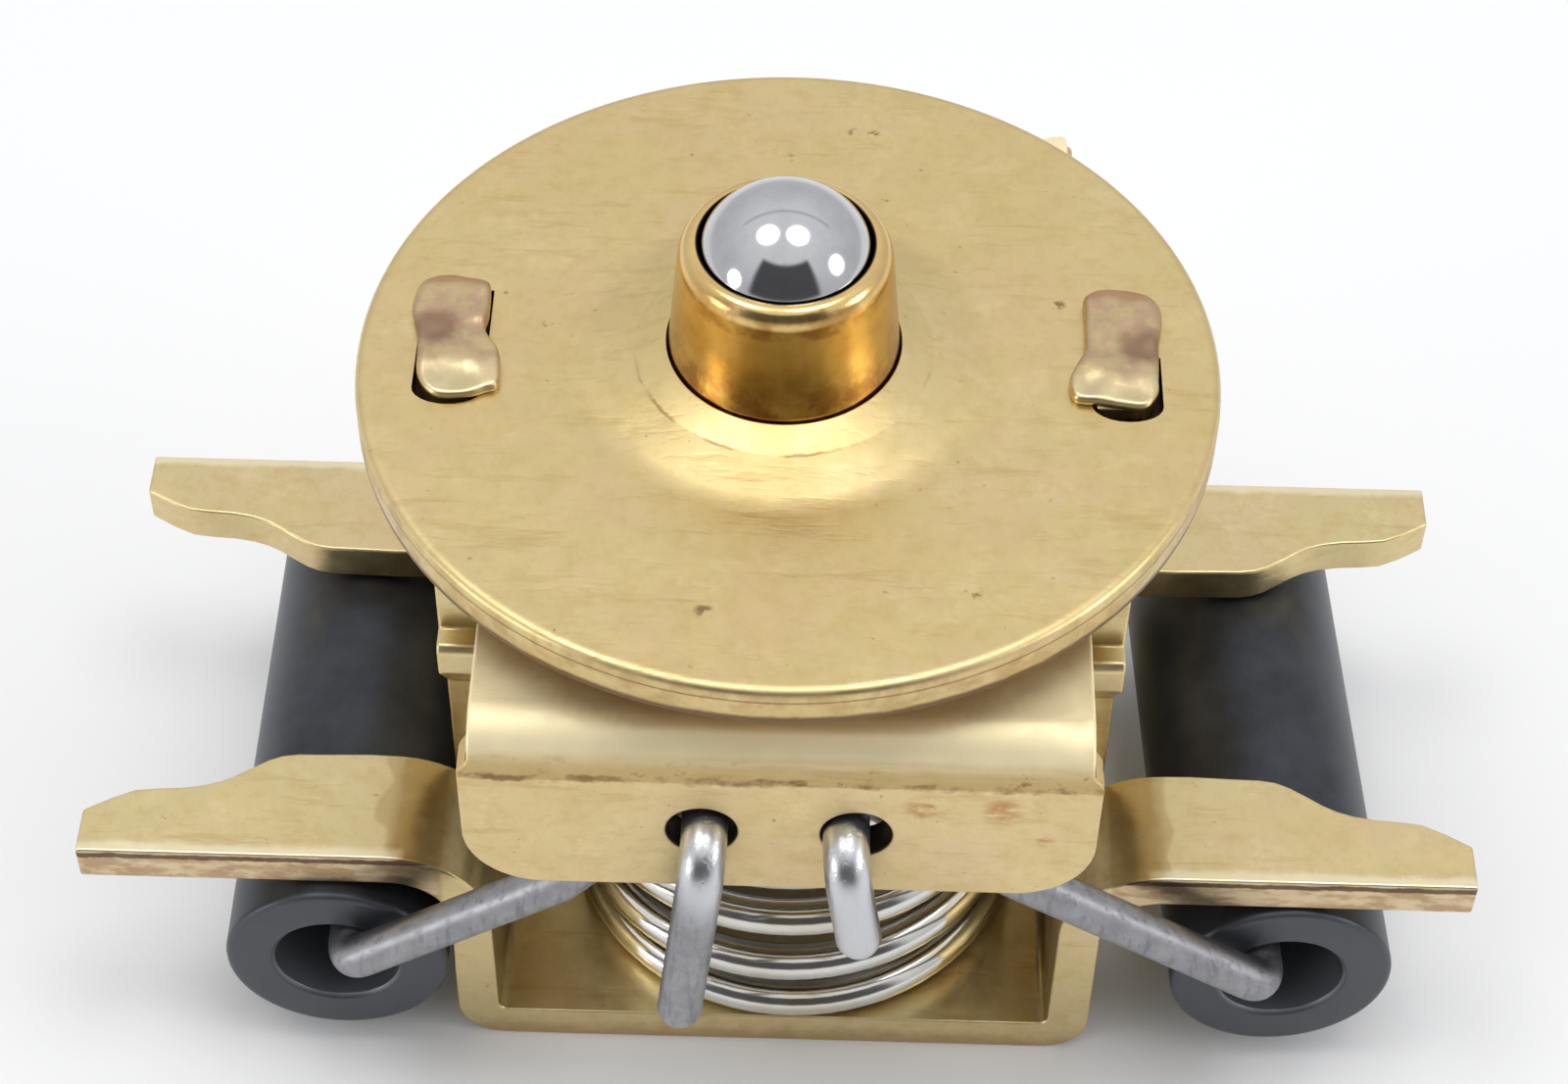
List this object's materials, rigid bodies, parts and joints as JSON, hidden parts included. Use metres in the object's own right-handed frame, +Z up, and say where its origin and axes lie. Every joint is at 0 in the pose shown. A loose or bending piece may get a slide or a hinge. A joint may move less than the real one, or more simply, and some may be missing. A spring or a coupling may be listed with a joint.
{
  "type": "centrifugal motor governor",
  "caption": "Centrifugal speed governor: tubular fly weights on bent wire links pull a sprung yoke down inside a brass frame, and a ball rises through the round cap.",
  "frame": {"origin": "centre of the underside of the frame's base, on the spin axis", "axes": "+Z up along the spin axis towards the ball, +X from the left weight to the right weight, -Y to the front, where the longer wire end hangs"},
  "size_m": [0.0516, 0.034, 0.0355],
  "materials": {
    "frame_brass": "satin",
    "cap_brass": "satin",
    "sleeve_brass": "polished",
    "ball_steel": "polished",
    "turned_steel": "turned",
    "link_wire": "dull zinc plated",
    "spring_wire": "bright plated",
    "weight_oxide": "blue-black oxide, satin"
  },
  "bodies": {
    "frame": {"frame": "frame_brass", "cap_disc": "cap_brass", "ball_sleeve": "sleeve_brass", "drive_hub": "turned_steel", "spring": "spring_wire"},
    "yoke": {"yoke": "frame_brass", "plunger": "turned_steel"},
    "ball": {"ball": "ball_steel"},
    "left_link": {"left_link": "link_wire"},
    "right_link": {"right_link": "link_wire"},
    "left_weight": {"left_weight": "weight_oxide"},
    "right_weight": {"right_weight": "weight_oxide"}
  },
  "joints": [
    {"name": "yoke_slide", "type": "slide", "parent": "frame", "child": "yoke", "axis": [0, 0, -1], "range_m": [0, 0.0045], "stiffness_N_per_m": 200, "springref_m": -0.006, "deforming": ["spring"]},
    {"name": "left_link_swing", "type": "hinge", "parent": "yoke", "child": "left_link", "pos_m": [-0.0024, 0, 0.0199], "axis": [0, 1, 0], "range_deg": [0, 16.1]},
    {"name": "right_link_swing", "type": "hinge", "parent": "yoke", "child": "right_link", "pos_m": [0.0024, 0, 0.0199], "axis": [0, -1, 0], "range_deg": [0, 14.4]},
    {"name": "left_weight_roll", "type": "hinge", "parent": "left_link", "child": "left_weight", "pos_m": [-0.01667, 0, 0.00545], "axis": [-0.0071, 1, 0], "continuous": true},
    {"name": "right_weight_roll", "type": "hinge", "parent": "right_link", "child": "right_weight", "pos_m": [0.01885, 0, 0.00545], "axis": [-0.0428, 0.9991, 0], "continuous": true},
    {"name": "ball_spin", "type": "hinge", "parent": "yoke", "child": "ball", "pos_m": [-0.00017, 0, 0.0323], "axis": [0, 0, 1], "continuous": true}
  ],
  "couplings": [
    {"joint": "left_link_swing", "follows": "yoke_slide", "rad_per_m": 62.1},
    {"joint": "right_link_swing", "follows": "yoke_slide", "rad_per_m": 55.3}
  ]
}
